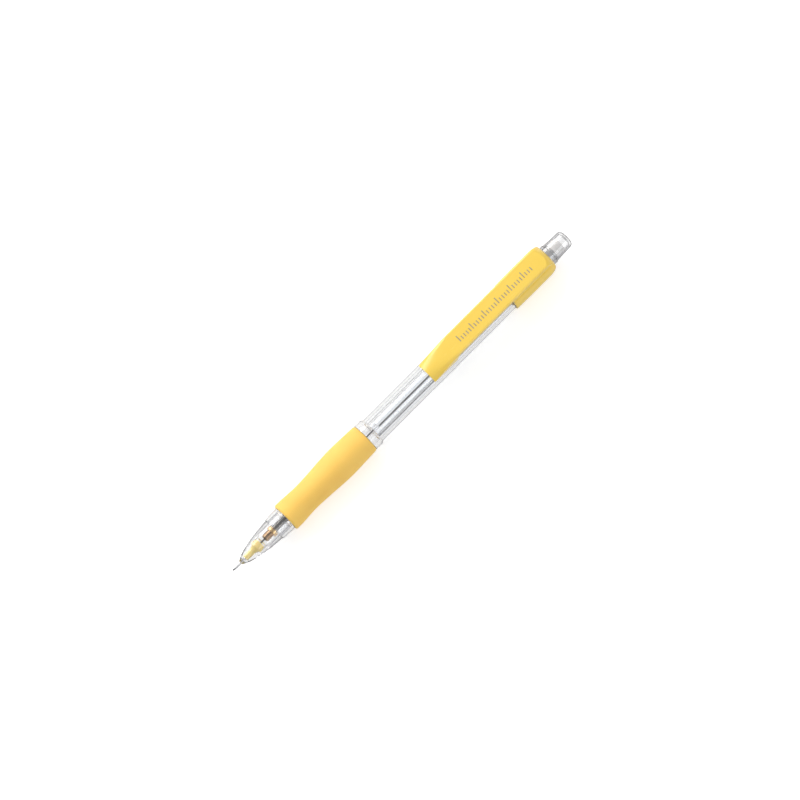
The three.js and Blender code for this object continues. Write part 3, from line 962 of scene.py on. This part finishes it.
def buildSpring():
    s = springShape
    start, end = reach("return_spring")
    start, end = start + s["wire"], end - s["wire"]
    closedTurns, openTurns = s["closedTurns"], s["turns"] - 2 * s["closedTurns"]
    closedRun = 2 * s["wire"] * s["closedPitch"] * closedTurns
    openRun = end - start - 2 * closedRun
    bm = bmesh.new()
    section = bmesh.ops.create_circle(
        bm, cap_ends=True, radius=s["wire"] * mm, segments=s["sides"])["verts"]
    # the wire's section stands across the coil, above the axis
    upright = Matrix.Rotation(math.pi / 2, 3, "X")
    bmesh.ops.rotate(bm, verts=section, cent=(0, 0, 0), matrix=upright)
    bmesh.ops.translate(bm, verts=section, vec=place(start, s["coil"]))
    geometry = bm.verts[:] + bm.edges[:] + bm.faces[:]
    runs = ((closedTurns, closedRun), (openTurns, openRun), (closedTurns, closedRun))
    for turns, run in runs:
        steps = round(turns * s["stepsPerTurn"])
        geometry = bmesh.ops.spin(
            bm, geom=geometry, cent=axisPoint, axis=(1, 0, 0), angle=fullTurn * turns,
            steps=steps, dvec=(run * mm / steps, 0, 0))["geom_last"]
    bmesh.ops.recalc_face_normals(bm, faces=bm.faces)
    spring = finishPiece(
        "returnSpring", bm, springWire, "body", ["return_spring"], 50)
    # the connector presses its rear end forward as the button goes in
    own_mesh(spring)


buildSleeve()
buildSpring()
print("spring built")


# what the button pushes

connectorShape = {"stemBore": 1.12, "outside": 2.2, "leadBore": 0.5, "steps": 72}
tubeShape = {"bore": 2.10, "outside": 2.70, "press": 0.02, "steps": 96}
eraserShape = {"outside": 2.4, "steps": 72}
buttonShape = {
    "skirt": 3.42,
    "skirtReach": 1.5,       # behind the clip's ring
    "cup": 3.22,
    "tip": 2.94,
    "wall": 0.5,
    "bore": 2.72,            # on the tube
    "steps": 128,
}
leadShape = {"radius": 0.28, "steps": 32}
tubePlug = tubeShape["bore"] - tubeShape["press"]      # what is pressed into the tube


def buildConnector():
    c = connectorShape
    start, end = reach("chuck_connector")
    stemEnd = reach("chuck_stem")[1] + 0.1
    bm = turned([
        (start, c["stemBore"], 0.05),
        (start, c["outside"], 0.15),
        (tubeStart - seam, c["outside"], 0.1),
        (tubeStart - seam, tubePlug),
        (end, tubePlug, 0.25),
        (end, c["leadBore"], 0.15),
        (stemEnd, c["leadBore"]),
        (stemEnd, c["stemBore"]),
    ], c["steps"])
    finishPiece("chuckConnector", bm, clearInner, "pusher", ["chuck_connector"])


def buildTube():
    t = tubeShape
    bm = turned([
        (tubeStart, t["bore"], 0.1),
        (tubeStart, t["outside"], 0.12),
        (tubeEnd, t["outside"], 0.12),
        (tubeEnd, t["bore"], 0.1),
    ], t["steps"])
    finishPiece("leadTube", bm, clearTube, "pusher", ["lead_tube"])


def buildEraser():
    e = eraserShape
    start, end = reach("eraser")
    bm = turned([
        (start, 0),
        (start, tubePlug, 0.25),
        (tubeEnd + seam, tubePlug),
        (tubeEnd + seam, e["outside"], 0.08),
        (end, e["outside"], 0.22),
        (end, 0),
    ], e["steps"])
    finishPiece("eraserPlug", bm, eraserRubber, "rubber", ["eraser"])


def buildButton():
    b = buttonShape
    skirtEnd = capEnd + b["skirtReach"]
    insideEnd = buttonEnd - b["wall"]
    bm = turned([
        (buttonEnd, 0),
        (buttonEnd, b["tip"], 1.0),
        (skirtEnd + 0.15, b["cup"], 0.08),
        (skirtEnd, b["skirt"], 0.08),
        (buttonStart, b["skirt"], 0.15),
        (buttonStart, b["bore"], 0.05),
        (tubeEnd + seam, b["bore"]),
        (tubeEnd + seam, b["cup"] - b["wall"]),
        (insideEnd, b["tip"] - b["wall"] - 0.05, 0.75),
        (insideEnd, 0),
    ], b["steps"])
    finishPiece("buttonCap", bm, clearButton, "button", ["button_cap"])


def buildLead(name, node, body):
    radius = leadShape["radius"]
    low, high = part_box(node)
    start, end = reach(node)
    drop = (low.z + high.z) / 2 - axisHeight
    bm = turned([
        (start, 0), (start, radius, 0.07), (end, radius, 0.01), (end, 0),
    ], leadShape["steps"])
    bmesh.ops.translate(bm, verts=bm.verts, vec=(0, 0, drop))
    finishPiece(name, bm, graphite, body, [node])


buildConnector()
buildTube()
buildEraser()
buildButton()
buildLead("leadInUse", "lead_in_use", "lead")
buildLead("spareLead", "spare_lead", "spare")
print("pushed pieces and leads built")


# floor, lights and camera

floorLook = {
    "colour": (0.90, 0.90, 0.895),
    "half": 1.6,             # half its side, in m
    "drop": 0.00002,         # how far it lies below the pencil
    "lift": 0.42,            # its glow where it is seen directly
    "through": 0.95,         # its brightness behind the clear pieces
    "throughShare": 0.55,
}


def buildFloor():
    f = floorLook
    material, tree, shader, vector = startMaterial("studioFloor", Roughness=0.75)
    grain = useGroup(tree, mouldGrain, vector, Fine_Scale=900.0, Broad_Scale=12.0)
    darker = tuple(part * 0.985 for part in f["colour"])
    colourFrom(tree, shader, grain.outputs["Tone"], (0.3, darker), (0.7, f["colour"]))
    # the glow doesn't light the pencil: it keeps the floor pale where it is seen, and evenly
    # bright behind the clear pieces
    paths = tree.nodes.new("ShaderNodeLightPath")
    direct = addNode(tree, "ShaderNodeMath", {"operation": "MULTIPLY"})
    direct.inputs[1].default_value = f["lift"]
    glow = tree.nodes.new("ShaderNodeEmission")
    lifted = tree.nodes.new("ShaderNodeAddShader")
    through = addNode(tree, "ShaderNodeMath", {"operation": "MULTIPLY"})
    through.inputs[1].default_value = f["throughShare"]
    even = addNode(tree, "ShaderNodeEmission", Strength=f["through"])
    seen = tree.nodes.new("ShaderNodeMixShader")
    tree.links.new(paths.outputs["Is Camera Ray"], direct.inputs[0])
    tree.links.new(direct.outputs[0], glow.inputs["Strength"])
    tree.links.new(shader.outputs[0], lifted.inputs[0])
    tree.links.new(glow.outputs[0], lifted.inputs[1])
    tree.links.new(paths.outputs["Is Transmission Ray"], through.inputs[0])
    tree.links.new(through.outputs[0], seen.inputs[0])
    tree.links.new(lifted.outputs[0], seen.inputs[1])
    tree.links.new(even.outputs[0], seen.inputs[2])
    tree.links.new(seen.outputs[0], tree.nodes["Material Output"].inputs["Surface"])
    bm = bmesh.new()
    bmesh.ops.create_grid(bm, x_segments=2, y_segments=2, size=f["half"])
    bmesh.ops.translate(bm, verts=bm.verts, vec=(0, 0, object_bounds()[0].z - f["drop"]))
    mesh = meshFrom(bm, "studioFloor")
    mesh.materials.append(material)
    floor = bpy.data.objects.new("studioFloor", mesh)
    bpy.context.scene.collection.objects.link(floor)


lamps = {
    "keyLight": {
        "position": (-0.10, 0.62, 0.42), "size": (0.9, 0.6), "power": 5.6,
        "colour": (1.0, 0.985, 0.96)},
    "fillLight": {
        "position": (0.25, -0.75, 0.5), "size": (0.8, 0.5), "power": 3.0,
        "colour": (0.96, 0.98, 1.0)},
}


def addLamp(name, position, size, power, colour):
    light = bpy.data.lights.new(name, "AREA")
    light.shape = "RECTANGLE"
    light.size, light.size_y = size
    light.energy = power
    light.color = colour
    lamp = bpy.data.objects.new(name, light)
    lamp.location = position
    lamp.rotation_mode = "QUATERNION"
    lamp.rotation_quaternion = (-Vector(position)).to_track_quat("-Z", "Y")
    bpy.context.scene.collection.objects.link(lamp)


sky = {
    "strength": 0.66,
    "low": 0.30,             # brightness near the horizon, above it and overhead
    "bright": 1.0,
    "top": 0.95,
    "farSide": 0.62,         # how bright it is on the -Y side
}


def buildSky():
    world = bpy.data.worlds.new("studioSky")
    bpy.context.scene.world = world
    world.use_nodes = True
    tree = world.node_tree
    coordinates = tree.nodes.new("ShaderNodeTexCoord")
    split = tree.nodes.new("ShaderNodeSeparateXYZ")
    tree.links.new(coordinates.outputs["Generated"], split.inputs[0])
    low, bright, top = ((sky[key],) * 3 for key in ("low", "bright", "top"))
    byHeight = rampFrom(
        tree, split.outputs["Z"],
        (0.0, low), (0.10, low), (0.30, bright), (0.90, bright), (0.975, top))
    bySide = rangeFrom(tree, split.outputs["Y"], sky["farSide"], 1.0, -0.8, 0.2)
    shade = addNode(tree, "ShaderNodeVectorMath", {"operation": "SCALE"})
    background = tree.nodes["Background"]
    tree.links.new(byHeight, shade.inputs[0])
    tree.links.new(bySide, shade.inputs["Scale"])
    tree.links.new(shade.outputs[0], background.inputs["Color"])
    background.inputs["Strength"].default_value = sky["strength"]


view = {
    "elevation": 78.7,       # above the horizon, from the pencil's -Y side
    "towardPoint": 6.0,      # and this far round towards the lead's point
    "lean": 45.0,            # the pencil's slope in the picture
    "width": 0.2432,         # what the picture's side covers at the pencil
    "lens": 200.0,
    "shiftUp": 3.5,          # the camera above the pencil's middle, in 800ths of the width
    "shiftBack": 0.9,        # and towards the point, in the same measure
}


def buildCamera():
    elevation, turn = math.radians(view["elevation"]), math.radians(view["towardPoint"])
    back = Vector((
        -math.sin(turn),
        -math.cos(elevation) * math.cos(turn),
        math.sin(elevation) * math.cos(turn)))
    back.normalize()
    along = Vector((1, 0, 0)) - back * back.x
    along.normalize()
    across = back.cross(along)
    lean = math.radians(view["lean"])
    right = along * math.cos(lean) - across * math.sin(lean)
    up = along * math.sin(lean) + across * math.cos(lean)
    camera = bpy.data.cameras.new("studioCamera")
    camera.lens = view["lens"]
    camera.clip_start, camera.clip_end = 0.01, 10
    distance = view["width"] * view["lens"] / camera.sensor_width
    middle = Vector(((cadBounds[0].x + cadBounds[1].x) / 2, 0, axisHeight))
    offset = (up * view["shiftUp"] - along * view["shiftBack"]) * (view["width"] / 800)
    facing = Matrix((right, up, back)).transposed().to_4x4()
    holder = bpy.data.objects.new("studioCamera", camera)
    holder.matrix_world = Matrix.Translation(middle + back * distance + offset) @ facing
    bpy.context.scene.collection.objects.link(holder)
    bpy.context.scene.camera = holder


buildFloor()
for lampName, lampValues in lamps.items():
    addLamp(lampName, **lampValues)
buildSky()
buildCamera()
scene = bpy.context.scene
scene.view_settings.view_transform = "Standard"
scene.cycles.max_bounces = 24
scene.cycles.transmission_bounces = 24
scene.cycles.glossy_bounces = 8
print("stage set")
